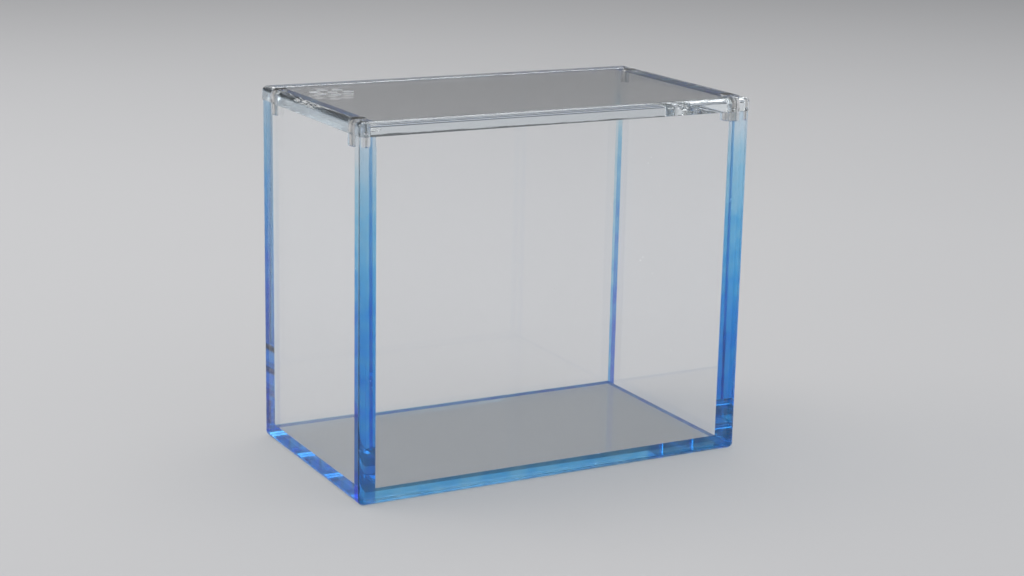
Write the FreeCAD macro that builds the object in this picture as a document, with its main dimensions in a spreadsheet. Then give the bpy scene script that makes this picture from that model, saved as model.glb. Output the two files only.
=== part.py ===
"""Clear acrylic deck box: five glued panels, a lift-off slab lid and eight corner magnets.

Frame: +X along the long side, +Y from the front panel to the back panel, +Z up.
The origin is the centre of the footprint, on the plane the box stands on.
All lengths are in millimetres.
"""

import FreeCAD, Part
import os
import re

import Sketcher

doc = FreeCAD.newDocument("CardDeckBox")

# ---------------------------------------------------------------- driving dimensions

DIMENSIONS = [
    ("box_width", 153.0, "outside, left to right"),
    ("box_depth", 88.0, "outside, front to back"),
    ("body_height", 127.5, "outside, without the lid"),
    ("face_wall", 5.0, "front and back panels"),
    ("side_wall", 7.0, "left and right panels, thick enough for the magnets"),
    ("floor_wall", 5.0, "base panel"),
    ("lid_wall", 5.0, "lid slab"),
    ("lid_overhang", 0.25, "lid past the body, each side"),
    ("edge_round", 2.0, "radius of the polished outer edges"),
    ("magnet_diameter", 5.0, "disc magnet"),
    ("magnet_length", 4.0, "disc magnet"),
    ("pocket_diameter", 5.4, "blind hole for a magnet and its glue"),
    ("magnet_recess", 0.25, "magnet below the meeting face"),
    ("magnet_inset", 10.0, "magnet axis from the front or back of the body"),
    ("emblem_radius", 8.3, "outside of the engraved rosette"),
    ("emblem_hub", 2.0, "radius of the rosette's centre disc"),
    ("emblem_petal", 2.1, "radius of one petal"),
    ("emblem_count", 7, "petals in the rosette"),
    ("emblem_depth", 0.2, "depth of the engraving"),
    ("emblem_from_left", 17.0, "rosette centre from the left side of the body"),
    ("emblem_from_back", 25.0, "rosette centre from the back of the body"),
]

sheet = doc.addObject("Spreadsheet::Sheet", "Dimensions")
for row, (alias, value, meaning) in enumerate(DIMENSIONS, start=1):
    sheet.set(f"A{row}", alias)
    sheet.set(f"B{row}", str(value))
    sheet.set(f"C{row}", meaning)
    sheet.setAlias(f"B{row}", alias)
doc.recompute()


def cell(text):
    """An expression in which every driving dimension's name, a word_word, points to its cell."""
    return re.sub(r"[a-z]+_[a-z]+", lambda found: f"<<Dimensions>>.{found[0]}", text)


# ---------------------------------------------------------------- building blocks


def origin_plane(body, role):
    """One of the body's own origin planes, found by its role."""
    return next(f for f in body.Origin.OriginFeatures if f.Role == role)


def rectangle_sketch(body, name, left, right, front, back):
    """A closed rectangle on the body's XY plane, its four sides held by sheet expressions."""
    sketch = body.newObject("Sketcher::SketchObject", name)
    sketch.AttachmentSupport = [(origin_plane(body, "XY_Plane"), "")]
    sketch.MapMode = "FlatFace"
    corners = [(-1, -1), (1, -1), (1, 1), (-1, 1)]
    for start, end in zip(corners, corners[1:] + corners[:1]):
        a = FreeCAD.Vector(*start, 0)
        b = FreeCAD.Vector(*end, 0)
        sketch.addGeometry(Part.LineSegment(a, b), False)
    for side in range(4):
        sketch.addConstraint(Sketcher.Constraint("Coincident", side, 2, (side + 1) % 4, 1))
    for side, kind in enumerate(("Horizontal", "Vertical", "Horizontal", "Vertical")):
        sketch.addConstraint(Sketcher.Constraint(kind, side))
    limits = [
        ("left", "DistanceX", 0, left),
        ("front", "DistanceY", 0, front),
        ("right", "DistanceX", 2, right),
        ("back", "DistanceY", 2, back),
    ]
    for label, kind, corner_of, expression in limits:
        index = sketch.addConstraint(Sketcher.Constraint(kind, corner_of, 1, 1.0))
        sketch.renameConstraint(index, label)
        sketch.setExpression(f"Constraints.{label}", cell(expression))
    return sketch


def circle_sketch(body, name, height, circles):
    """Circles on a plane parallel to XY at a height: each is (x, y, diameter) in expressions."""
    sketch = body.newObject("Sketcher::SketchObject", name)
    sketch.AttachmentSupport = [(origin_plane(body, "XY_Plane"), "")]
    sketch.MapMode = "FlatFace"
    sketch.setExpression("AttachmentOffset.Base.z", cell(height))
    for number, (x, y, diameter) in enumerate(circles):
        circle = Part.Circle(FreeCAD.Vector(number, number, 0), FreeCAD.Vector(0, 0, 1), 1)
        sketch.addGeometry(circle, False)
        values = [("DistanceX", x), ("DistanceY", y), ("Diameter", diameter)]
        for kind, expression in values:
            point = () if kind == "Diameter" else (3,)
            index = sketch.addConstraint(Sketcher.Constraint(kind, number, *point, 1.0))
            label = f"{kind.lower()}_{number}"
            sketch.renameConstraint(index, label)
            sketch.setExpression(f"Constraints.{label}", cell(expression))
    return sketch


def new_body(label):
    """A PartDesign body whose label names its file."""
    body = doc.addObject("PartDesign::Body", label)
    body.Label = label
    return body


def slab(label, left, right, front, back, bottom, height):
    """A body holding one rectangular sheet of acrylic, cut to size."""
    body = new_body(label)
    sketch = rectangle_sketch(body, f"{label}_outline", left, right, front, back)
    sketch.setExpression("AttachmentOffset.Base.z", cell(bottom))
    pad = body.newObject("PartDesign::Pad", f"{label}_pad")
    pad.Profile = sketch
    pad.setExpression("Length", cell(height))
    doc.recompute()
    return body


def round_edges(body, wanted):
    """Fillet the edges of the body's tip that wanted(edge) picks, to the polished radius."""
    tip = body.Tip
    names = [f"Edge{i}" for i, edge in enumerate(tip.Shape.Edges, start=1) if wanted(edge)]
    fillet = body.newObject("PartDesign::Fillet", f"{body.Label}_rounding")
    fillet.Base = (tip, names)
    fillet.setExpression("Radius", cell("edge_round"))
    doc.recompute()


def bore_pockets(body, name, circles, mouth, depth, upwards):
    """Blind round holes from a mouth plane into the body, up or down."""
    before = body.Shape.Volume
    sketch = circle_sketch(body, f"{name}_circles", mouth, circles)
    pocket = body.newObject("PartDesign::Pocket", name)
    pocket.Profile = sketch
    pocket.setExpression("Length", cell(depth))
    pocket.Reversed = upwards
    doc.recompute()
    if not body.Shape.Volume < before:
        raise RuntimeError(f"{name} cuts nothing")
    return pocket


def on_plane(edge, axis, value):
    """True if both ends of an edge lie where the named coordinate has the value."""
    return all(abs(getattr(v.Point, axis) - value) < 1e-4 for v in edge.Vertexes)


def upright(edge):
    """True for a straight edge parallel to Z."""
    a, b = (v.Point for v in edge.Vertexes)
    return abs(a.x - b.x) < 1e-4 and abs(a.y - b.y) < 1e-4


# ---------------------------------------------------------------- body panels

half_width = sheet.box_width / 2
half_depth = sheet.box_depth / 2


def is_outer_edge(edge, outer_y):
    """True for the edges of a full-width panel that stay outside once the box is glued."""
    if on_plane(edge, "y", outer_y) and upright(edge):
        return True
    outside = [("y", outer_y), ("x", half_width), ("x", -half_width)]
    return on_plane(edge, "z", 0) and any(on_plane(edge, axis, value) for axis, value in outside)


base_panel = slab(
    "base_panel",
    "-(box_width / 2 - side_wall)", "box_width / 2 - side_wall",
    "-(box_depth / 2 - face_wall)", "box_depth / 2 - face_wall",
    "0", "floor_wall",
)

# The front and back panels run the full width, so the side panels stand between them.
face_panels = {}
for face, inner_y, outer_y in (
    ("front", "-(box_depth / 2 - face_wall)", "-box_depth / 2"),
    ("back", "box_depth / 2 - face_wall", "box_depth / 2"),
):
    front, back = (outer_y, inner_y) if face == "front" else (inner_y, outer_y)
    panel = slab(
        f"{face}_panel",
        "-box_width / 2", "box_width / 2",
        front, back,
        "0", "body_height",
    )
    outer_plane = half_depth if face == "back" else -half_depth
    round_edges(panel, lambda edge, y=outer_plane: is_outer_edge(edge, y))
    face_panels[face] = panel

# The magnets sit in the top edge of each side panel, on its centre line.
magnet_x = "(box_width / 2 - side_wall / 2)"
magnet_y = "(box_depth / 2 - magnet_inset)"
SIDES = {"left": "-", "right": ""}
FACES = {"front": "-", "back": ""}

side_panels = {}
for side, sign in SIDES.items():
    inner = f"{sign}(box_width / 2 - side_wall)"
    outer = f"{sign}(box_width / 2)"
    left, right = (outer, inner) if side == "left" else (inner, outer)
    panel = slab(
        f"{side}_panel",
        left, right,
        "-(box_depth / 2 - face_wall)", "box_depth / 2 - face_wall",
        "0", "body_height",
    )
    outer_x = half_width if side == "right" else -half_width
    round_edges(panel, lambda edge, x=outer_x: on_plane(edge, "x", x) and on_plane(edge, "z", 0))
    bore_pockets(
        panel,
        f"{side}_panel_pockets",
        [(f"{sign}{magnet_x}", f"{turn}{magnet_y}", "pocket_diameter") for turn in FACES.values()],
        "body_height",
        "magnet_length + magnet_recess",
        upwards=False,
    )
    side_panels[side] = panel

# ---------------------------------------------------------------- lid

lid_panel = slab(
    "lid_panel",
    "-(box_width / 2 + lid_overhang)", "box_width / 2 + lid_overhang",
    "-(box_depth / 2 + lid_overhang)", "box_depth / 2 + lid_overhang",
    "body_height", "lid_wall",
)
lid_top = sheet.body_height + sheet.lid_wall
round_edges(lid_panel, lambda edge: upright(edge) or on_plane(edge, "z", lid_top))
bore_pockets(
    lid_panel,
    "lid_panel_pockets",
    [
        (f"{sign}{magnet_x}", f"{turn}{magnet_y}", "pocket_diameter")
        for sign in SIDES.values()
        for turn in FACES.values()
    ],
    "body_height",
    "magnet_length + magnet_recess",
    upwards=True,
)

# A plain rosette is engraved near the lid's back left corner: a hub and a ring of round petals.
emblem_x = "(emblem_from_left - box_width / 2)"
emblem_y = "(box_depth / 2 - emblem_from_back)"
rosette = [(emblem_x, emblem_y, "emblem_hub * 2")]
for petal in range(int(sheet.emblem_count)):
    angle = f"{petal} * 360deg / emblem_count"
    reach = "(emblem_radius - emblem_petal)"
    rosette.append((
        f"{emblem_x} + {reach} * cos({angle})",
        f"{emblem_y} + {reach} * sin({angle})",
        "emblem_petal * 2",
    ))
bore_pockets(
    lid_panel,
    "lid_panel_emblem",
    rosette,
    "body_height + lid_wall",
    "emblem_depth",
    upwards=False,
)

# ---------------------------------------------------------------- magnets

magnets = []
for holder, bottom in (
    ("box", "body_height - magnet_recess - magnet_length"),
    ("lid", "body_height + magnet_recess"),
):
    for face, turn in FACES.items():
        for side, sign in SIDES.items():
            label = f"{holder}_magnet_{face}_{side}"
            magnet = new_body(label)
            circle_sketch(
                magnet,
                f"{label}_circle",
                bottom,
                [(f"{sign}{magnet_x}", f"{turn}{magnet_y}", "magnet_diameter")],
            )
            pad = magnet.newObject("PartDesign::Pad", f"{label}_pad")
            pad.Profile = doc.getObject(f"{label}_circle")
            pad.setExpression("Length", cell("magnet_length"))
            magnets.append(magnet)

doc.recompute()

# ---------------------------------------------------------------- checks and files

subparts = [base_panel, *face_panels.values(), *side_panels.values(), lid_panel, *magnets]

for item in doc.Objects:
    if "Invalid" in item.State or "Error" in item.State:
        raise RuntimeError(f"{item.Label} failed to build: {item.State}")
for body in subparts:
    if body.Shape.isNull() or not body.Shape.isValid() or len(body.Shape.Solids) != 1:
        raise RuntimeError(f"{body.Label} is not one sound solid")

os.makedirs("parts", exist_ok=True)
for body in subparts:
    body.Shape.exportStep(os.path.join("parts", f"{body.Label}.step"))
    box = body.Shape.BoundBox
    print(f"{body.Label}: {body.Shape.Volume:.1f} mm3, z {box.ZMin:.2f} to {box.ZMax:.2f}")
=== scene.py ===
"""A clear acrylic deck box: glued sheets, a lift-off slab lid and disc magnets in the corners.

The packed model gives every place and outside size. This script gives each sheet its polished,
rounded edges, drilled magnet pockets and absorbing acrylic, and sets the stage around the box.
"""

import math

import bpy
import numpy as np
from mathutils import Matrix, Vector
from mathutils.geometry import delaunay_2d_cdt


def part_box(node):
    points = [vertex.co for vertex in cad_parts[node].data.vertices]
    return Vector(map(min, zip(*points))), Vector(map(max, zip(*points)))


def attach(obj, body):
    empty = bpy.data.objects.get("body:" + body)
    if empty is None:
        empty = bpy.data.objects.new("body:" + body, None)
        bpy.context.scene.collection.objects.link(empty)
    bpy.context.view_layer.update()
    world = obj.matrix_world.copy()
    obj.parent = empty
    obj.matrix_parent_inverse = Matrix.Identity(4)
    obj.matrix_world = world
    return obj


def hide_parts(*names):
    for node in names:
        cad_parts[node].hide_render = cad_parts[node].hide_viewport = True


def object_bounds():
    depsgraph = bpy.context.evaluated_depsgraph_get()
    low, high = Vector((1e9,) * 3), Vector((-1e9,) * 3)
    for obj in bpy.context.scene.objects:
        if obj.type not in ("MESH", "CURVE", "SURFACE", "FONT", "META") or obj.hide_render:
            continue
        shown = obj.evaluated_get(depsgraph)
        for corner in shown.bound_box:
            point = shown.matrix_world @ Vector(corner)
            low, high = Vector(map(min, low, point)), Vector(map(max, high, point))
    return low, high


bl_info = {
    "name": "Acrylic Deck Box",
    "version": (1, 0, 0),
    "blender": (4, 5, 0),
    "location": "3D View > Sidebar > Deck Box",
    "description": "Builds a clear acrylic deck box with a magnetic lift-off lid",
    "category": "Add Mesh",
}

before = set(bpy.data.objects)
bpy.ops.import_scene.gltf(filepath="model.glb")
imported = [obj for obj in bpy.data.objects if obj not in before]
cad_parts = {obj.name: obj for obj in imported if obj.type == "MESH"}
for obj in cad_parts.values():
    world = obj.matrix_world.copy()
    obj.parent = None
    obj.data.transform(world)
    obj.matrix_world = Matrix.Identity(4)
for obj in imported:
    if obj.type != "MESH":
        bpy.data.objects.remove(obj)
cad_low, cad_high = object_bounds()

MM = 0.001
MERGE = 1e-6
ARC_STEPS = 12
CIRCLE_STEPS = 64
FLOOR_STEPS = 96
FLOOR_GAP = 0.02 * MM

# How much of a cut edge a face is: a free one, one cemented to a neighbour, and one cemented all round
# between four walls. It scales each face's edge ripple, edge roughness and painted edge light.
CUT = 1.0
CEMENTED = 0.5
ENCLOSED = 0.25

# How frosted a drilled pocket and an engraved disc are, next to a polished face at 0.
SATIN = 0.1
ENGRAVED = 1.0

FACES = ("front", "back")
SIDES = ("left", "right")
HOLDERS = ("box", "lid")


# ---------------------------------------------------------------- settings


class DeckBoxSheets(bpy.types.PropertyGroup):
    """How the acrylic sheets are cut, rounded and drilled."""

    edge_round: bpy.props.FloatProperty(
        name="Edge Round", description="Radius of the polished outer edges",
        default=2.0 * MM, unit="LENGTH", subtype="DISTANCE",
    )
    joint: bpy.props.FloatProperty(
        name="Joint", description="Reach of a cemented edge into its neighbour, so light runs on",
        default=0.02 * MM, unit="LENGTH", subtype="DISTANCE",
    )
    lid_air: bpy.props.FloatProperty(
        name="Lid Air", description="Film of air under the lid where it rests on the walls",
        default=0.06 * MM, unit="LENGTH", subtype="DISTANCE",
    )
    pocket_clearance: bpy.props.FloatProperty(
        name="Pocket Clearance", description="Pocket wall from the magnet, all round",
        default=0.2 * MM, unit="LENGTH", subtype="DISTANCE",
    )
    magnet_round: bpy.props.FloatProperty(
        name="Magnet Round", description="Radius of the magnets' plated rims",
        default=0.3 * MM, unit="LENGTH", subtype="DISTANCE",
    )


class DeckBoxRosette(bpy.types.PropertyGroup):
    """The plain rosette engraved in the lid."""

    from_left: bpy.props.FloatProperty(
        name="From Left", description="Rosette centre from the lid's left side",
        default=17.25 * MM, unit="LENGTH", subtype="DISTANCE",
    )
    from_back: bpy.props.FloatProperty(
        name="From Back", description="Rosette centre from the lid's back side",
        default=25.25 * MM, unit="LENGTH", subtype="DISTANCE",
    )
    radius: bpy.props.FloatProperty(
        name="Radius", description="Outside of the ring of petals",
        default=8.3 * MM, unit="LENGTH", subtype="DISTANCE",
    )
    petal: bpy.props.FloatProperty(
        name="Petal", description="Radius of one petal",
        default=2.1 * MM, unit="LENGTH", subtype="DISTANCE",
    )
    hub: bpy.props.FloatProperty(
        name="Hub", description="Radius of the centre disc",
        default=2.0 * MM, unit="LENGTH", subtype="DISTANCE",
    )
    petals: bpy.props.IntProperty(
        name="Petals", description="How many petals stand round the hub", default=7, min=3,
    )
    depth: bpy.props.FloatProperty(
        name="Depth", description="Depth of the engraving",
        default=0.2 * MM, unit="LENGTH", subtype="DISTANCE",
    )


class DeckBoxFinish(bpy.types.PropertyGroup):
    """Colours and polish of the acrylic and the magnets."""

    body_absorbs: bpy.props.FloatVectorProperty(
        name="Body Absorption", description="Colour that the blue-edged body acrylic lets through",
        default=(0.06, 0.52, 0.96), size=3, subtype="COLOR", min=0.0, max=1.0,
    )
    body_density: bpy.props.FloatProperty(
        name="Body Density", description="Absorption of the body acrylic per metre", default=2.0,
    )
    # Painted light: the acrylic's blue, painted on the cut edges where light that has run far inside a
    # sheet comes out.
    painted_edge_light: bpy.props.FloatVectorProperty(
        name="Edge Tint", description="Tint that light has taken on where it leaves by a cut edge",
        default=(0.002, 0.165, 0.84), size=3, subtype="COLOR", min=0.0, max=1.0,
    )
    # Painted light: the painted edge blue is faint above the top height and full below the foot height,
    # deeper towards the bottom as if light came in from above.
    painted_light_top: bpy.props.FloatProperty(
        name="Tint Top", description="Height above which cut edges are almost free of tint",
        default=120.0 * MM, unit="LENGTH", subtype="DISTANCE",
    )
    painted_light_foot: bpy.props.FloatProperty(
        name="Tint Foot", description="Height below which cut edges have their full tint",
        default=28.0 * MM, unit="LENGTH", subtype="DISTANCE",
    )
    lid_absorbs: bpy.props.FloatVectorProperty(
        name="Lid Absorption", description="Colour that the clear lid acrylic lets through",
        default=(0.35, 0.65, 0.8), size=3, subtype="COLOR", min=0.0, max=1.0,
    )
    lid_density: bpy.props.FloatProperty(
        name="Lid Density", description="Absorption of the lid acrylic per metre", default=2.0,
    )
    refraction: bpy.props.FloatProperty(
        name="Refraction", description="Refractive index of cast acrylic", default=1.49,
    )


class DeckBoxStage(bpy.types.PropertyGroup):
    """Camera, lamps and floor."""

    azimuth: bpy.props.FloatProperty(
        name="Azimuth", description="Camera's turn round the box",
        default=math.radians(-28.44), unit="ROTATION",
    )
    elevation: bpy.props.FloatProperty(
        name="Elevation", description="Camera's height above the horizon",
        default=math.radians(14.07), unit="ROTATION",
    )
    roll: bpy.props.FloatProperty(
        name="Roll", description="Camera's tilt about its own axis",
        default=math.radians(1.18), unit="ROTATION",
    )
    distance: bpy.props.FloatProperty(
        name="Distance", description="Camera to the point it looks at",
        default=0.754, unit="LENGTH", subtype="DISTANCE",
    )
    aim: bpy.props.FloatVectorProperty(
        name="Aim", description="Point that the camera looks at",
        default=(0.0026, -0.0032, 0.0598), size=3, unit="LENGTH", subtype="XYZ",
    )
    lens: bpy.props.FloatProperty(
        name="Lens", description="Focal length in millimetres on a 36 mm sensor", default=72.0,
    )
    floor_radius: bpy.props.FloatProperty(
        name="Floor Radius", description="Radius of the round floor",
        default=6.0, unit="LENGTH", subtype="DISTANCE",
    )
    floor_tone: bpy.props.FloatVectorProperty(
        name="Floor Tone", description="Colour of the pale floor",
        default=(0.55, 0.55, 0.56), size=3, subtype="COLOR", min=0.0, max=1.0,
    )
    sky_low: bpy.props.FloatProperty(
        name="Sky Low", description="Brightness of the surroundings at the horizon", default=0.09,
    )
    sky_high: bpy.props.FloatProperty(
        name="Sky High", description="Brightness of the surroundings overhead", default=0.34,
    )


# ---------------------------------------------------------------- surfaces


class Skin:
    """Patches of one closed surface, each with exact corner normals, gathered as whole arrays.

    Each face also carries two numbers: how frosted it is and how much it is a cut sheet edge.
    """

    def __init__(self):
        self.points = []
        self.normals = []
        self.sizes = []
        self.marks = []

    def add(self, points, normals, size, frosted=0.0, cut_edge=0.0):
        """Faces of one size whose corners follow each other in points and normals."""
        points = np.asarray(points, float).reshape(-1, 3)
        count = len(points) // size
        self.points.append(points)
        self.normals.append(np.broadcast_to(np.asarray(normals, float), points.shape))
        self.sizes.append(np.full(count, size))
        self.marks.append(np.tile((frosted, cut_edge), (count, 1)))

    def grid(self, points, normals, **marks):
        """A grid of points, rows by columns, becomes quads between neighbouring rows and columns."""
        def corners(values):
            values = np.asarray(values, float)
            around = (values[:-1, :-1], values[1:, :-1], values[1:, 1:], values[:-1, 1:])
            return np.stack(around, axis=2).reshape(-1, 3)

        self.add(corners(points), corners(np.broadcast_to(normals, np.shape(points))), 4, **marks)

    def flat(self, outline, normal, holes=(), **marks):
        """A plane face inside an outline, less its holes.

        Without holes it is one polygon. With them it is cut into triangles that use only the
        points of the outline and the round holes, so that it meets its neighbours exactly; the
        triangles whose corners all lie on one hole fill that hole and are dropped. The two axes
        it is cut in are the ones that the normal doesn't point along.
        """
        if not len(holes):
            self.add(outline, normal, len(outline), **marks)
            return
        loops = [np.asarray(outline, float), *[np.asarray(hole, float) for hole in holes]]
        points = np.concatenate(loops)
        across = np.argsort(np.abs(normal), kind="stable")[:2]
        lengths = [len(loop) for loop in loops]
        ends = np.cumsum(lengths)
        follow = np.arange(1, len(points) + 1)
        follow[ends - 1] = np.concatenate(([0], ends[:-1]))
        edges = np.stack((np.arange(len(points)), follow), axis=1)
        plane = [Vector(pair) for pair in (points[:, across] / MM).tolist()]
        inside = 1
        found = delaunay_2d_cdt(plane, edges.tolist(), [], inside, MERGE)
        if len(found[0]) != len(points):
            raise RuntimeError("a plane face was given loops that touch or cross")
        triangles = np.array(found[2])
        owner = np.repeat(np.arange(len(loops)), lengths)[triangles]
        solid = (owner[:, 0] == 0) | (owner != owner[:, :1]).any(axis=1)
        self.add(points[triangles[solid]].reshape(-1, 3), normal, 3, **marks)

    def build(self, name):
        """The mesh object: faces turned outwards, equal points merged, and the shell closed."""
        points = np.concatenate(self.points)
        normals = np.concatenate(self.normals)
        sizes = np.concatenate(self.sizes)
        marks = np.concatenate(self.marks)

        face = np.repeat(np.arange(len(sizes)), sizes)
        start = (np.cumsum(sizes) - sizes)[face]
        step = np.arange(len(points)) - start
        following = start + (step + 1) % sizes[face]
        first = np.cumsum(sizes) - sizes
        area = np.add.reduceat(np.cross(points, points[following]), first)
        turned = np.einsum("ij,ij->i", area, np.add.reduceat(normals, first)) < 0
        order = np.where(turned[face], start + sizes[face] - 1 - step, np.arange(len(points)))
        points, normals = points[order], normals[order]

        keys = np.round(points / MERGE).astype(np.int64)
        _, places, corner = np.unique(keys, axis=0, return_index=True, return_inverse=True)
        corner = corner.ravel()
        kept = corner != corner[following]
        whole = np.bincount(face[kept], minlength=len(sizes)) >= 3
        kept &= whole[face]
        totals = np.bincount(face[kept], minlength=len(sizes))[whole]
        corner, normals, marks = corner[kept], normals[kept], marks[whole]
        starts = np.cumsum(totals) - totals
        self.check_closed(name, corner, starts, totals)

        mesh = bpy.data.meshes.new(name)
        mesh.vertices.add(len(places))
        mesh.vertices.foreach_set("co", points[places].ravel())
        mesh.loops.add(len(corner))
        mesh.loops.foreach_set("vertex_index", corner)
        mesh.polygons.add(len(totals))
        mesh.polygons.foreach_set("loop_start", starts)
        mesh.polygons.foreach_set("loop_total", totals)
        mesh.polygons.foreach_set("use_smooth", np.ones(len(totals), bool))
        for column, label in enumerate(("frosted", "cut_edge")):
            attribute = mesh.attributes.new(label, "FLOAT", "FACE")
            attribute.data.foreach_set("value", marks[:, column])
        mesh.update(calc_edges=True)
        normals = normals / np.linalg.norm(normals, axis=1, keepdims=True)
        mesh.normals_split_custom_set(normals.tolist())
        made = bpy.data.objects.new(name, mesh)
        bpy.context.scene.collection.objects.link(made)
        return made

    @staticmethod
    def check_closed(name, corner, starts, totals):
        """Every edge has to run once each way, or the shell has a slit or a stray face."""
        face = np.repeat(np.arange(len(totals)), totals)
        step = np.arange(len(corner)) - starts[face]
        ahead = corner[starts[face] + (step + 1) % totals[face]]
        span = corner.max() + 1
        forward = np.sort(corner * span + ahead)
        backward = np.sort(ahead * span + corner)
        if len(np.unique(forward)) != len(forward) or not np.array_equal(forward, backward):
            raise RuntimeError(f"{name} is not one closed shell")


def circle(centre, radius, steps=CIRCLE_STEPS):
    """Points of a level circle: the centre plus the radius times (cosine, sine) of even angles."""
    angle = np.arange(steps) * math.tau / steps
    ring = np.stack((np.cos(angle), np.sin(angle), np.zeros(steps)), axis=1)
    return np.asarray(centre, float) + radius * ring


def drill(skin, centre, radius, depth, **marks):
    """A blind round hole from a mouth at the centre to depth along Z, up if it is positive.

    The wall is the mouth's circle carried along Z, with normals towards the axis; the end is a
    flat disc that faces back to the mouth. Returns the mouth's circle.
    """
    mouth = circle(centre, radius)
    end = mouth + (0.0, 0.0, depth)
    inward = np.asarray(centre, float) - mouth
    around = [*range(len(mouth)), 0]
    skin.grid(np.stack((mouth[around], end[around])), np.stack((inward[around],) * 2), **marks)
    skin.flat(end, (0.0, 0.0, -math.copysign(1.0, depth)), **marks)
    return mouth


def quarter(steps=ARC_STEPS):
    """Cosines and sines of even angles over a quarter turn, ends exact."""
    angle = np.linspace(0.0, math.pi / 2, steps + 1)
    cosine, sine = np.cos(angle), np.sin(angle)
    cosine[-1] = 0.0
    return cosine, sine


def add_face_sheet(skin, low, high, outward, radius):
    """A full-width sheet whose outer face is rounded into its upright and bottom edges.

    The rounding is a quarter circle carried along the sheet's outline, down one side, along the
    bottom and up the other. At an angle of the quarter circle the outline draws in by radius
    times (1 - sine), and lies radius times (1 - cosine) behind the outer face, so its two bottom
    corners are parts of a sphere. The outline stays sharp along the top, where the lid rests.
    """
    cosine, sine = quarter()
    # In-plane outward directions down the left side, round both corners and up the right side.
    turn_x = np.concatenate(([-1.0], -cosine, sine, [1.0]))
    turn_z = np.concatenate(([0.0], -sine, -cosine, [0.0]))
    arc = len(sine)
    hub_x = np.repeat((low.x + radius, high.x - radius), arc + 1)
    hub_z = np.repeat((high.z, low.z + radius, high.z), (1, 2 * arc, 1))
    face_y = high.y if outward > 0 else low.y
    back_y = low.y if outward > 0 else high.y

    # Rows run from the outer face over the rounding to the inner face.
    reach = np.concatenate((sine, [1.0]))
    depth = np.concatenate((radius * (1.0 - cosine), [abs(face_y - back_y)]))
    tilt = np.concatenate((cosine, [0.0]))
    x = hub_x[None] + radius * reach[:, None] * turn_x[None]
    z = hub_z[None] + radius * reach[:, None] * turn_z[None]
    y = np.broadcast_to((face_y - outward * depth)[:, None], x.shape)
    points = np.stack((x, y, z), axis=2)
    normals = np.stack((
        reach[:, None] * turn_x[None],
        np.broadcast_to(outward * tilt[:, None], x.shape),
        reach[:, None] * turn_z[None],
    ), axis=2)
    skin.grid(points[:-1], normals[:-1])
    skin.grid(points[-2:], normals[-2:], cut_edge=CUT)
    skin.flat(points[0], (0.0, outward, 0.0))
    skin.flat(points[-1], (0.0, -outward, 0.0))
    top = np.concatenate((points[:, 0], points[::-1, -1]))
    skin.flat(top, (0.0, 0.0, 1.0), cut_edge=CUT)


def add_side_sheet(skin, low, high, outward, radius, pockets):
    """A side sheet between the face sheets: its section carried along Y, and its top drilled.

    The section is a rectangle whose bottom outer corner is a quarter circle. pockets is a list
    of (centre, radius, depth) for the blind holes in its top.
    """
    outer = high.x if outward > 0 else low.x
    inner = low.x if outward > 0 else high.x
    cosine, sine = quarter()
    arc_x = outer - outward * radius * (1.0 - cosine)
    arc_z = low.z + radius * (1.0 - sine)
    ends = (low.y, high.y)

    def strip(x, z, normal_x, normal_z, **marks):
        """A run of the section, carried from the front end to the back end."""
        x, z, normal_x, normal_z = np.broadcast_arrays(x, z, normal_x, normal_z)
        rows = [np.stack((x, np.full(x.shape, y), z), axis=1) for y in ends]
        normal = np.stack((normal_x, np.zeros(x.shape), normal_z), axis=1)
        skin.grid(np.stack(rows), np.stack((normal, normal)), **marks)

    strip(np.full(2, outer), np.array((high.z, low.z + radius)), outward, 0.0)
    strip(arc_x, arc_z, outward * cosine, -sine)
    strip(np.array((outer - outward * radius, inner)), np.full(2, low.z), 0.0, -1.0, cut_edge=CUT)
    strip(np.full(2, inner), np.array((low.z, high.z)), -outward, 0.0)

    section_x = np.concatenate(([outer], arc_x, [inner, inner]))
    section_z = np.concatenate(([high.z], arc_z, [low.z, high.z]))
    for y, facing in zip(ends, (-1.0, 1.0)):
        section = np.stack((section_x, np.full(section_x.shape, y), section_z), axis=1)
        skin.flat(section, (0.0, facing, 0.0), cut_edge=CEMENTED)
    mouths = [drill(skin, centre, size, depth, frosted=SATIN) for centre, size, depth in pockets]
    top_x, top_y = (outer, inner, inner, outer), np.repeat(ends, 2)
    top = np.stack((top_x, top_y, np.full(4, high.z)), axis=1)
    skin.flat(top, (0.0, 0.0, 1.0), mouths, cut_edge=CUT)


def add_block(skin, low, high):
    """A plain cut sheet: its outline carried from the bottom face to the top face.

    The four narrow faces are marked as enclosed edges, because the walls are cemented round them.
    """
    x = np.array((low.x, high.x, high.x, low.x))
    y = np.array((low.y, low.y, high.y, high.y))
    bottom = np.stack((x, y, np.full(4, low.z)), axis=1)
    top = np.stack((x, y, np.full(4, high.z)), axis=1)
    skin.flat(bottom, (0.0, 0.0, -1.0))
    skin.flat(top, (0.0, 0.0, 1.0))
    outward = ((0.0, -1.0, 0.0), (1.0, 0.0, 0.0), (0.0, 1.0, 0.0), (-1.0, 0.0, 0.0))
    for edge, normal in enumerate(outward):
        ends = [edge, (edge + 1) % 4]
        skin.grid(np.stack((bottom[ends], top[ends])), normal, cut_edge=ENCLOSED)


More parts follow.
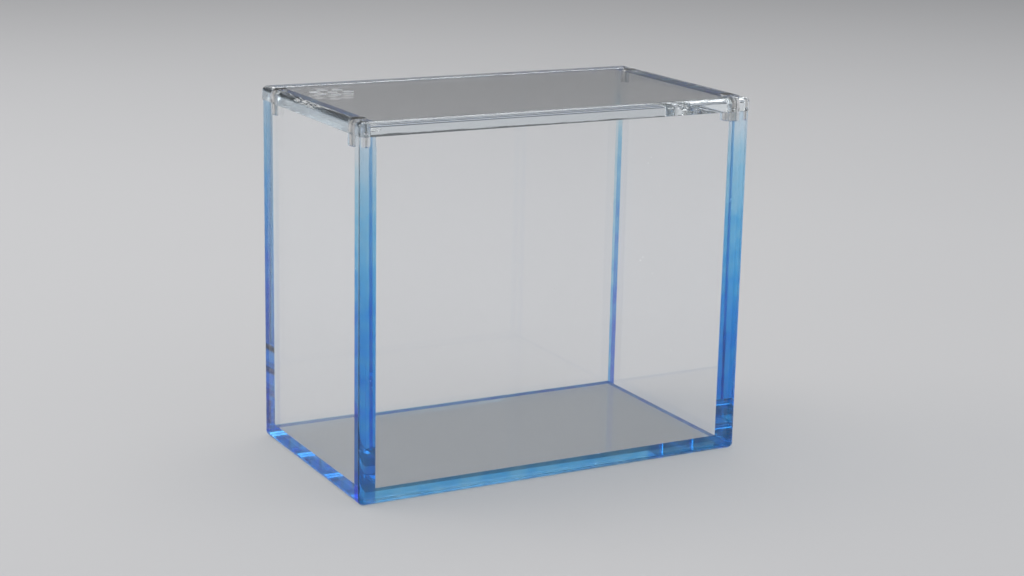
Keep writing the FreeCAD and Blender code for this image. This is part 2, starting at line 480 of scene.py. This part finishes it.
def add_lid(skin, low, high, radius, pockets, petals, depth):
    """The lid slab: rounded upright corners and top edges, drilled below and engraved above.

    The rounding is a quarter circle carried round the slab's outline. At an angle of it the
    outline's four corner arcs have a radius of radius times the sine, about fixed centres, so
    each top corner is part of a sphere. petals is a list of (centre, radius) of engraved discs.
    """
    cosine, sine = quarter()
    ones = np.ones_like(sine)
    turn_x = np.concatenate((-cosine, sine, cosine, -sine))
    turn_y = np.concatenate((-sine, -cosine, sine, cosine))
    left, right, front, back = low.x + radius, high.x - radius, low.y + radius, high.y - radius
    hub_x = np.concatenate((left * ones, right * ones, right * ones, left * ones))
    hub_y = np.concatenate((front * ones, front * ones, back * ones, back * ones))
    around = [*range(len(hub_x)), 0]

    reach = np.concatenate((sine, [1.0]))
    level = np.concatenate((high.z - radius * (1.0 - cosine), [low.z]))
    tilt = np.concatenate((cosine, [0.0]))
    x = hub_x[None] + radius * reach[:, None] * turn_x[None]
    y = hub_y[None] + radius * reach[:, None] * turn_y[None]
    points = np.stack((x, y, np.broadcast_to(level[:, None], x.shape)), axis=2)
    normals = np.stack((
        reach[:, None] * turn_x[None],
        reach[:, None] * turn_y[None],
        np.broadcast_to(tilt[:, None], x.shape),
    ), axis=2)
    points, normals = points[:, around], normals[:, around]
    skin.grid(points[:-1], normals[:-1])
    skin.grid(points[-2:], normals[-2:], cut_edge=CUT)

    mouths = [drill(skin, centre, size, length, frosted=SATIN) for centre, size, length in pockets]
    skin.flat(points[-1, :-1], (0.0, 0.0, -1.0), mouths)
    engraved = [drill(skin, centre, size, -depth, frosted=ENGRAVED) for centre, size in petals]
    corners = points[0, :-1:len(sine)]
    skin.flat(corners, (0.0, 0.0, 1.0), engraved)


def add_disc(skin, low, high, radius):
    """A plated disc magnet: its rim profile turned about its own axis, with flat ends.

    The profile goes from the top face over a quarter circle to the side, and down to the bottom
    face over another. It is turned through even angles, and each point's normal is the profile's.
    """
    cosine, sine = quarter(ARC_STEPS // 2)
    centre = (low + high) / 2
    outside = (high.x - low.x) / 2
    reach = np.concatenate((sine, cosine))
    rise = np.concatenate((cosine, -sine))
    across = outside - radius + radius * reach
    height = np.repeat((high.z - radius, low.z + radius), len(sine)) + radius * rise
    spin = circle((0.0, 0.0, 0.0), 1.0)[[*range(CIRCLE_STEPS), 0]]
    x = centre.x + across[:, None] * spin[None, :, 0]
    y = centre.y + across[:, None] * spin[None, :, 1]
    points = np.stack((x, y, np.broadcast_to(height[:, None], x.shape)), axis=2)
    normals = np.stack((
        reach[:, None] * spin[None, :, 0],
        reach[:, None] * spin[None, :, 1],
        np.broadcast_to(rise[:, None], x.shape),
    ), axis=2)
    skin.grid(points, normals)
    skin.flat(points[0, :-1], (0.0, 0.0, 1.0))
    skin.flat(points[-1, :-1], (0.0, 0.0, -1.0))


# ---------------------------------------------------------------- materials


class Nodes:
    """Short ways to add and join the nodes of one tree."""

    def __init__(self, tree):
        self.tree = tree

    def add(self, kind, **settings):
        """A new node with its settings."""
        node = self.tree.nodes.new(kind)
        for name, value in settings.items():
            setattr(node, name, value)
        return node

    def feed(self, node, **values):
        """Set or link a node's inputs: an underscore in a name stands for a space."""
        for name, value in values.items():
            socket = node.inputs[name.replace("_", " ")]
            if isinstance(value, bpy.types.NodeSocket):
                self.tree.links.new(value, socket)
            else:
                socket.default_value = value
        return node

    def combine(self, operation, *terms):
        """One Math node over numbers or sockets."""
        node = self.add("ShaderNodeMath", operation=operation)
        for socket, term in zip(node.inputs, terms):
            if isinstance(term, bpy.types.NodeSocket):
                self.tree.links.new(term, socket)
            else:
                socket.default_value = term
        return node.outputs[0]

    def mix(self, share, first, second, blend="MIX"):
        """One colour Mix node: the first colour where share is 0, blended with the second by share."""
        node = self.add("ShaderNodeMix", data_type="RGBA", blend_type=blend)
        return self.feed(node, Factor=share, A=first, B=second).outputs["Result"]

    def noise(self, vector, scale, detail=2.0, roughness=0.5):
        """The value of a Noise Texture, with scale in cells per metre."""
        node = self.add("ShaderNodeTexNoise")
        self.feed(node, Vector=vector, Scale=scale, Detail=detail, Roughness=roughness)
        return node.outputs["Fac"]

    def ramp(self, value, low, high, to_low=0.0, to_high=1.0):
        """A clamped Map Range from low..high to to_low..to_high."""
        node = self.add("ShaderNodeMapRange")
        self.feed(node, Value=value, From_Min=low, From_Max=high, To_Min=to_low, To_Max=to_high)
        return node.outputs["Result"]


def new_group(name, inputs, outputs):
    """A shader node group with named sockets: each is (name, socket type, default or None)."""
    tree = bpy.data.node_groups.new(name, "ShaderNodeTree")
    for label, kind, default in inputs:
        socket = tree.interface.new_socket(name=label, in_out="INPUT", socket_type=kind)
        if default is not None:
            socket.default_value = default
    for label, kind in outputs:
        tree.interface.new_socket(name=label, in_out="OUTPUT", socket_type=kind)
    nodes = Nodes(tree)
    return tree, nodes, nodes.add("NodeGroupInput"), nodes.add("NodeGroupOutput")


def sheet_surface_group():
    """Polish of an acrylic sheet: faint waviness, hairlines, finger haze, dust and sawn edges."""
    group = bpy.data.node_groups.get("sheet_surface")
    if group:
        return group
    group, nodes, given, result = new_group(
        "sheet_surface",
        [
            ("Vector", "NodeSocketVector", None),
            ("Frosted", "NodeSocketFloat", 0.0),
            ("Cut Edge", "NodeSocketFloat", 0.0),
            ("Polish", "NodeSocketFloat", 0.012),
            ("Edge Ripple", "NodeSocketFloat", 1.0),
            ("Edge Grain", "NodeSocketVector", (1.0, 1.0, 1.0)),
            ("Edge Tint", "NodeSocketColor", (1.0, 1.0, 1.0, 1.0)),
            ("Dust", "NodeSocketFloat", 1.0),
        ],
        [("Color", "NodeSocketColor"), ("Roughness", "NodeSocketFloat"), ("Height", "NodeSocketFloat")],
    )
    place = given.outputs["Vector"]
    frosted = given.outputs["Frosted"]
    cut_edge = given.outputs["Cut Edge"]

    waviness = nodes.noise(place, scale=14.0, detail=1.0)
    along = nodes.add("ShaderNodeVectorMath", operation="MULTIPLY")
    nodes.tree.links.new(place, along.inputs[0])
    nodes.tree.links.new(given.outputs["Edge Grain"], along.inputs[1])
    ripple = nodes.noise(along.outputs["Vector"], scale=230.0, detail=2.5, roughness=0.6)
    ground = nodes.noise(place, scale=9000.0, detail=3.0, roughness=0.7)
    rippled = nodes.combine("MULTIPLY", ripple, cut_edge)
    rippled = nodes.combine("MULTIPLY", rippled, given.outputs["Edge Ripple"])
    height = nodes.combine("MULTIPLY", waviness, 0.25)
    height = nodes.combine("MULTIPLY_ADD", rippled, 0.2, height)
    height = nodes.combine("MULTIPLY_ADD", nodes.combine("MULTIPLY", ground, frosted), 0.25, height)

    specks = nodes.add("ShaderNodeTexVoronoi")
    nodes.feed(specks, Vector=place, Scale=420.0, Randomness=1.0)
    sparse = nodes.ramp(nodes.noise(place, scale=60.0, detail=3.0), 0.60, 0.72)
    dust = nodes.ramp(specks.outputs["Distance"], 0.11, 0.05)
    dust = nodes.combine("MULTIPLY", nodes.combine("MULTIPLY", dust, sparse), given.outputs["Dust"])
    haze = nodes.ramp(nodes.noise(place, scale=38.0, detail=4.0, roughness=0.65), 0.52, 0.75, 0.0, 0.025)

    roughness = nodes.combine("ADD", given.outputs["Polish"], haze)
    roughness = nodes.combine("MULTIPLY_ADD", cut_edge, 0.02, roughness)
    roughness = nodes.combine("MULTIPLY_ADD", frosted, 0.8, roughness)
    roughness = nodes.combine("MULTIPLY_ADD", dust, 0.5, roughness)

    # Painted light: a cut edge takes the acrylic's blue, painted deeper towards the bottom to stand for
    # light that has run further inside the sheet from above; the tint is raised to a power, as absorption
    # is by the length of the way.
    level = nodes.feed(nodes.add("ShaderNodeSeparateXYZ"), Vector=place).outputs["Z"]
    # Painted reflection: a noise mottle makes the painted edge blue darker and lighter in patches,
    # standing for reflections seen inside the edge.
    mottle = nodes.ramp(nodes.noise(place, scale=130.0, detail=2.0, roughness=0.6), 0.42, 0.62, 0.75, 1.3)
    finish = bpy.context.scene.deck_box_finish
    run = nodes.ramp(level, finish.painted_light_top, finish.painted_light_foot, 0.02, 1.25)
    run = nodes.combine("MULTIPLY", run, mottle)
    edge = nodes.feed(
        nodes.add("ShaderNodeGamma"),
        Color=given.outputs["Edge Tint"],
        Gamma=nodes.combine("MULTIPLY", run, cut_edge),
    )
    dusty = (0.80, 0.80, 0.78, 1.0)
    colour = nodes.mix(nodes.combine("MULTIPLY", dust, 0.5), edge.outputs["Color"], dusty)
    nodes.feed(result, Color=colour, Roughness=roughness, Height=height)
    return group


def clear_acrylic(name, absorbs, density, edge_ripple, edge_grain, painted_edge_light):
    """Cast acrylic: refracting, polished, and coloured only by the light it absorbs inside."""
    finish = bpy.context.scene.deck_box_finish
    material = bpy.data.materials.new(name)
    material.use_nodes = True
    nodes = Nodes(material.node_tree)
    shader = material.node_tree.nodes["Principled BSDF"]
    output = material.node_tree.nodes["Material Output"]

    surface = nodes.add("ShaderNodeGroup", node_tree=sheet_surface_group())
    place = nodes.add("ShaderNodeTexCoord").outputs["Object"]
    frosted = nodes.add("ShaderNodeAttribute", attribute_name="frosted").outputs["Fac"]
    cut_edge = nodes.add("ShaderNodeAttribute", attribute_name="cut_edge").outputs["Fac"]
    nodes.feed(
        surface,
        Vector=place,
        Frosted=frosted,
        Cut_Edge=cut_edge,
        Edge_Ripple=edge_ripple,
        Edge_Grain=edge_grain,
        Edge_Tint=(*painted_edge_light, 1.0),
    )
    bump = nodes.add("ShaderNodeBump")
    nodes.feed(bump, Strength=0.5, Distance=0.02 * MM, Height=surface.outputs["Height"])
    nodes.feed(
        shader,
        Base_Color=surface.outputs["Color"],
        Roughness=surface.outputs["Roughness"],
        Normal=bump.outputs["Normal"],
        IOR=finish.refraction,
        Transmission_Weight=1.0,
    )
    # Lamps shine through the sheets as through a window, so the floor under the box stays lit.
    lamp_ray = nodes.add("ShaderNodeLightPath").outputs["Is Shadow Ray"]
    window = nodes.feed(nodes.add("ShaderNodeBsdfTransparent"), Color=(0.965, 0.975, 0.985, 1.0))
    mix = nodes.add("ShaderNodeMixShader")
    material.node_tree.links.new(lamp_ray, mix.inputs[0])
    material.node_tree.links.new(shader.outputs[0], mix.inputs[1])
    material.node_tree.links.new(window.outputs[0], mix.inputs[2])
    material.node_tree.links.new(mix.outputs[0], output.inputs["Surface"])

    depth = nodes.feed(nodes.add("ShaderNodeVolumeAbsorption"), Color=(*absorbs, 1.0), Density=density)
    material.node_tree.links.new(depth.outputs[0], output.inputs["Volume"])
    return material


def nickel_plating():
    """Bright nickel on a disc magnet: slightly warm, with fine tumbling marks and dull spots."""
    material = bpy.data.materials.get("nickel_plating")
    if material:
        return material
    material = bpy.data.materials.new("nickel_plating")
    material.use_nodes = True
    nodes = Nodes(material.node_tree)
    shader = material.node_tree.nodes["Principled BSDF"]
    place = nodes.add("ShaderNodeTexCoord").outputs["Object"]
    spots = nodes.noise(place, scale=1600.0, detail=3.0, roughness=0.6)
    marks = nodes.noise(place, scale=7000.0, detail=2.0)
    tone = nodes.mix(nodes.ramp(spots, 0.4, 0.7), (0.76, 0.755, 0.74, 1.0), (0.62, 0.61, 0.59, 1.0))
    bump = nodes.feed(nodes.add("ShaderNodeBump"), Strength=0.25, Distance=0.01 * MM, Height=marks)
    nodes.feed(
        shader,
        Base_Color=tone,
        Metallic=1.0,
        Roughness=nodes.ramp(spots, 0.35, 0.75, 0.06, 0.2),
        Normal=bump.outputs["Normal"],
    )
    return material


def body_acrylic():
    """The body's acrylic, whose sheet edges turn blue because light runs far inside them."""
    finish = bpy.context.scene.deck_box_finish
    found = bpy.data.materials.get("blue_edged_acrylic")
    return found or clear_acrylic(
        "blue_edged_acrylic",
        finish.body_absorbs,
        finish.body_density,
        edge_ripple=3.0,
        edge_grain=(1.5, 1.5, 0.4),
        painted_edge_light=finish.painted_edge_light,
    )


# ---------------------------------------------------------------- pieces


def settle(piece, material, body, node):
    """Give a finished piece its material, its body, its slot and the CAD node it stands for."""
    piece.data.materials.append(material)
    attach(piece, body)
    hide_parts(node)


def magnet_pockets(holder, side=None):
    """(mouth centre, radius, depth) of a holder's pockets: the magnet's axis, and past its far end."""
    sheets = bpy.context.scene.deck_box_sheets
    pockets = []
    for face in FACES:
        for which in SIDES if side is None else (side,):
            low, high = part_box(f"{holder}_magnet_{face}_{which}")
            axis = (low + high) / 2
            size = (high.x - low.x) / 2 + sheets.pocket_clearance
            if holder == "box":
                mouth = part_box(f"{which}_panel")[1].z
                pockets.append(((axis.x, axis.y, mouth), size, low.z - mouth))
            else:
                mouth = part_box("lid_panel")[0].z + sheets.lid_air
                pockets.append(((axis.x, axis.y, mouth), size, high.z - mouth))
    return pockets


class DECKBOX_OT_base_sheet(bpy.types.Operator):
    """Cut the base sheet that is cemented between the four walls."""

    bl_idname = "deckbox.base_sheet"
    bl_label = "Base Sheet"

    def execute(self, context):
        joint = context.scene.deck_box_sheets.joint
        low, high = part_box("base_panel")
        reach = Vector((joint, joint, 0.0))
        skin = Skin()
        add_block(skin, low - reach, high + reach)
        settle(skin.build("base_sheet"), body_acrylic(), "box", "base_panel")
        return {"FINISHED"}


class DECKBOX_OT_face_sheets(bpy.types.Operator):
    """Cut the front and back sheets, rounded on their outer edges."""

    bl_idname = "deckbox.face_sheets"
    bl_label = "Front and Back Sheets"

    def execute(self, context):
        sheets = context.scene.deck_box_sheets
        for face, outward in zip(FACES, (-1.0, 1.0)):
            low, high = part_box(f"{face}_panel")
            skin = Skin()
            add_face_sheet(skin, low, high, outward, sheets.edge_round)
            settle(skin.build(f"{face}_sheet"), body_acrylic(), "box", f"{face}_panel")
        return {"FINISHED"}


class DECKBOX_OT_side_sheets(bpy.types.Operator):
    """Cut the thicker side sheets and drill the magnet pockets in their top edges."""

    bl_idname = "deckbox.side_sheets"
    bl_label = "Side Sheets"

    def execute(self, context):
        sheets = context.scene.deck_box_sheets
        reach = Vector((0.0, sheets.joint, 0.0))
        for side, outward in zip(SIDES, (-1.0, 1.0)):
            low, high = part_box(f"{side}_panel")
            skin = Skin()
            pockets = magnet_pockets("box", side)
            add_side_sheet(skin, low - reach, high + reach, outward, sheets.edge_round, pockets)
            settle(skin.build(f"{side}_sheet"), body_acrylic(), "box", f"{side}_panel")
        return {"FINISHED"}


class DECKBOX_OT_lid(bpy.types.Operator):
    """Cut the lid slab, drill its magnet pockets and engrave the rosette."""

    bl_idname = "deckbox.lid"
    bl_label = "Lid"

    def execute(self, context):
        sheets = context.scene.deck_box_sheets
        rosette = context.scene.deck_box_rosette
        finish = context.scene.deck_box_finish
        low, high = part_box("lid_panel")
        centre = Vector((low.x + rosette.from_left, high.y - rosette.from_back, high.z))
        ring = circle(centre, rosette.radius - rosette.petal, rosette.petals)
        petals = [(tuple(centre), rosette.hub), *[(tuple(place), rosette.petal) for place in ring]]
        skin = Skin()
        add_lid(
            skin,
            low + Vector((0.0, 0.0, sheets.lid_air)),
            high,
            sheets.edge_round,
            magnet_pockets("lid"),
            petals,
            rosette.depth,
        )
        acrylic = clear_acrylic(
            "colourless_acrylic",
            finish.lid_absorbs,
            finish.lid_density,
            edge_ripple=5.0,
            edge_grain=(0.3, 0.3, 4.0),
            painted_edge_light=(1.0, 1.0, 1.0),
        )
        settle(skin.build("lid_slab"), acrylic, "lid", "lid_panel")
        return {"FINISHED"}


class DECKBOX_OT_magnets(bpy.types.Operator):
    """Turn the eight plated disc magnets."""

    bl_idname = "deckbox.magnets"
    bl_label = "Magnets"

    def execute(self, context):
        rim = context.scene.deck_box_sheets.magnet_round
        for holder in HOLDERS:
            for face in FACES:
                for side in SIDES:
                    node = f"{holder}_magnet_{face}_{side}"
                    skin = Skin()
                    add_disc(skin, *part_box(node), rim)
                    disc = skin.build(f"{holder}_disc_{face}_{side}")
                    settle(disc, nickel_plating(), holder, node)
        return {"FINISHED"}


# ---------------------------------------------------------------- stage


def pale_floor_material(tone):
    """Matte pale paper: a faint mottle in tone and a fine tooth."""
    material = bpy.data.materials.new("pale_floor")
    material.use_nodes = True
    nodes = Nodes(material.node_tree)
    shader = material.node_tree.nodes["Principled BSDF"]
    place = nodes.add("ShaderNodeTexCoord").outputs["Object"]
    darker = [0.97 * part for part in tone]
    mottle = nodes.mix(nodes.noise(place, scale=3.0, detail=4.0), (*darker, 1.0), (*tone, 1.0))
    tooth = nodes.noise(place, scale=1500.0)
    bump = nodes.feed(nodes.add("ShaderNodeBump"), Strength=0.1, Distance=0.05 * MM, Height=tooth)
    nodes.feed(shader, Base_Color=mottle, Roughness=0.75, Normal=bump.outputs["Normal"])
    return material


def add_lamp(name, place, aim, size, power, colour):
    """A soft rectangular lamp, width by height, turned to face a point."""
    lamp = bpy.data.lights.new(name, "AREA")
    lamp.shape = "RECTANGLE"
    lamp.size, lamp.size_y = size
    lamp.energy = power
    lamp.color = colour
    holder = bpy.data.objects.new(name, lamp)
    holder.location = place
    holder.rotation_euler = (Vector(aim) - Vector(place)).to_track_quat("-Z", "Y").to_euler()
    bpy.context.scene.collection.objects.link(holder)


class DECKBOX_OT_stage(bpy.types.Operator):
    """Lay the pale floor, hang the soft lamps and set up the camera."""

    bl_idname = "deckbox.stage"
    bl_label = "Stage"

    def execute(self, context):
        stage = context.scene.deck_box_stage
        self.lay_floor(stage)
        self.light(context, stage)
        self.set_camera(context, stage)
        return {"FINISHED"}

    def lay_floor(self, stage):
        """One level disc just under the box."""
        rim = circle((0.0, 0.0, cad_low.z - FLOOR_GAP), stage.floor_radius, FLOOR_STEPS)
        mesh = bpy.data.meshes.new("floor")
        mesh.from_pydata(rim.tolist(), [], [list(range(len(rim)))])
        mesh.materials.append(pale_floor_material(stage.floor_tone))
        floor = bpy.data.objects.new("floor", mesh)
        bpy.context.scene.collection.objects.link(floor)

    def light(self, context, stage):
        """A sky that brightens overhead, and soft boxes at the back left, front right and above."""
        world = bpy.data.worlds.new("studio")
        context.scene.world = world
        world.use_nodes = True
        nodes = Nodes(world.node_tree)
        direction = nodes.add("ShaderNodeTexCoord").outputs["Generated"]
        split = nodes.feed(nodes.add("ShaderNodeSeparateXYZ"), Vector=direction)
        glow = nodes.ramp(split.outputs["Z"], 0.0, 0.9, stage.sky_low, stage.sky_high)
        background = world.node_tree.nodes["Background"]
        nodes.feed(background, Color=(0.95, 0.97, 1.0, 1.0), Strength=glow)

        aim = (0.0, 0.0, cad_high.z / 2)
        add_lamp("soft_back_left", (-1.6, 1.1, 1.1), aim, (1.3, 1.4), 18.0, (1.0, 0.98, 0.95))
        add_lamp("soft_front_right", (1.1, -1.5, 0.6), aim, (3.2, 1.9), 10.0, (0.95, 0.97, 1.0))
        add_lamp("soft_overhead", (0.1, 0.4, 1.8), aim, (2.0, 1.3), 26.0, (1.0, 1.0, 1.0))

    def set_camera(self, context, stage):
        """Place the camera by its turn, height and distance from its aim, then roll it."""
        turn, rise = stage.azimuth, stage.elevation
        flat = math.cos(rise)
        away = Vector((math.sin(turn) * flat, -math.cos(turn) * flat, math.sin(rise)))
        camera = bpy.data.cameras.new("camera")
        camera.lens = stage.lens
        camera.sensor_width = 36.0
        camera.clip_start = 0.01
        holder = bpy.data.objects.new("camera", camera)
        facing = (-away).to_track_quat("-Z", "Y").to_matrix().to_4x4()
        place = Matrix.Translation(Vector(stage.aim) + away * stage.distance)
        holder.matrix_world = place @ facing @ Matrix.Rotation(stage.roll, 4, "Z")
        context.scene.collection.objects.link(holder)
        context.scene.camera = holder
        # Light bounces many times inside a clear sheet before it leaves by an edge.
        context.scene.cycles.max_bounces = 48
        context.scene.cycles.transmission_bounces = 48
        context.scene.cycles.glossy_bounces = 24
        context.scene.cycles.transparent_max_bounces = 48
        context.scene.cycles.caustics_refractive = False
        context.scene.cycles.caustics_reflective = False
        context.scene.view_settings.view_transform = "Standard"


# ---------------------------------------------------------------- panel and registration

OPERATORS = (
    DECKBOX_OT_base_sheet,
    DECKBOX_OT_face_sheets,
    DECKBOX_OT_side_sheets,
    DECKBOX_OT_lid,
    DECKBOX_OT_magnets,
    DECKBOX_OT_stage,
)

SETTINGS = {
    "deck_box_sheets": DeckBoxSheets,
    "deck_box_rosette": DeckBoxRosette,
    "deck_box_finish": DeckBoxFinish,
    "deck_box_stage": DeckBoxStage,
}


class DECKBOX_PT_tools(bpy.types.Panel):
    """The deck box's settings and building steps."""

    bl_idname = "DECKBOX_PT_tools"
    bl_label = "Deck Box"
    bl_space_type = "VIEW_3D"
    bl_region_type = "UI"
    bl_category = "Deck Box"

    def draw(self, context):
        for name, group in SETTINGS.items():
            column = self.layout.column(heading=group.__doc__)
            for setting in group.__annotations__:
                column.prop(getattr(context.scene, name), setting)
        for operator in OPERATORS:
            self.layout.operator(operator.bl_idname)


def register():
    for group in (*SETTINGS.values(), *OPERATORS, DECKBOX_PT_tools):
        bpy.utils.register_class(group)
    for name, group in SETTINGS.items():
        setattr(bpy.types.Scene, name, bpy.props.PointerProperty(type=group))


def unregister():
    for name in SETTINGS:
        delattr(bpy.types.Scene, name)
    for group in reversed((*SETTINGS.values(), *OPERATORS, DECKBOX_PT_tools)):
        bpy.utils.unregister_class(group)


def main():
    """Build every piece and the stage, then write the CAD box and the visual model's box."""
    register()
    for operator in OPERATORS:
        namespace, action = operator.bl_idname.split(".")
        getattr(getattr(bpy.ops, namespace), action)()


if __name__ == "__main__":
    main()
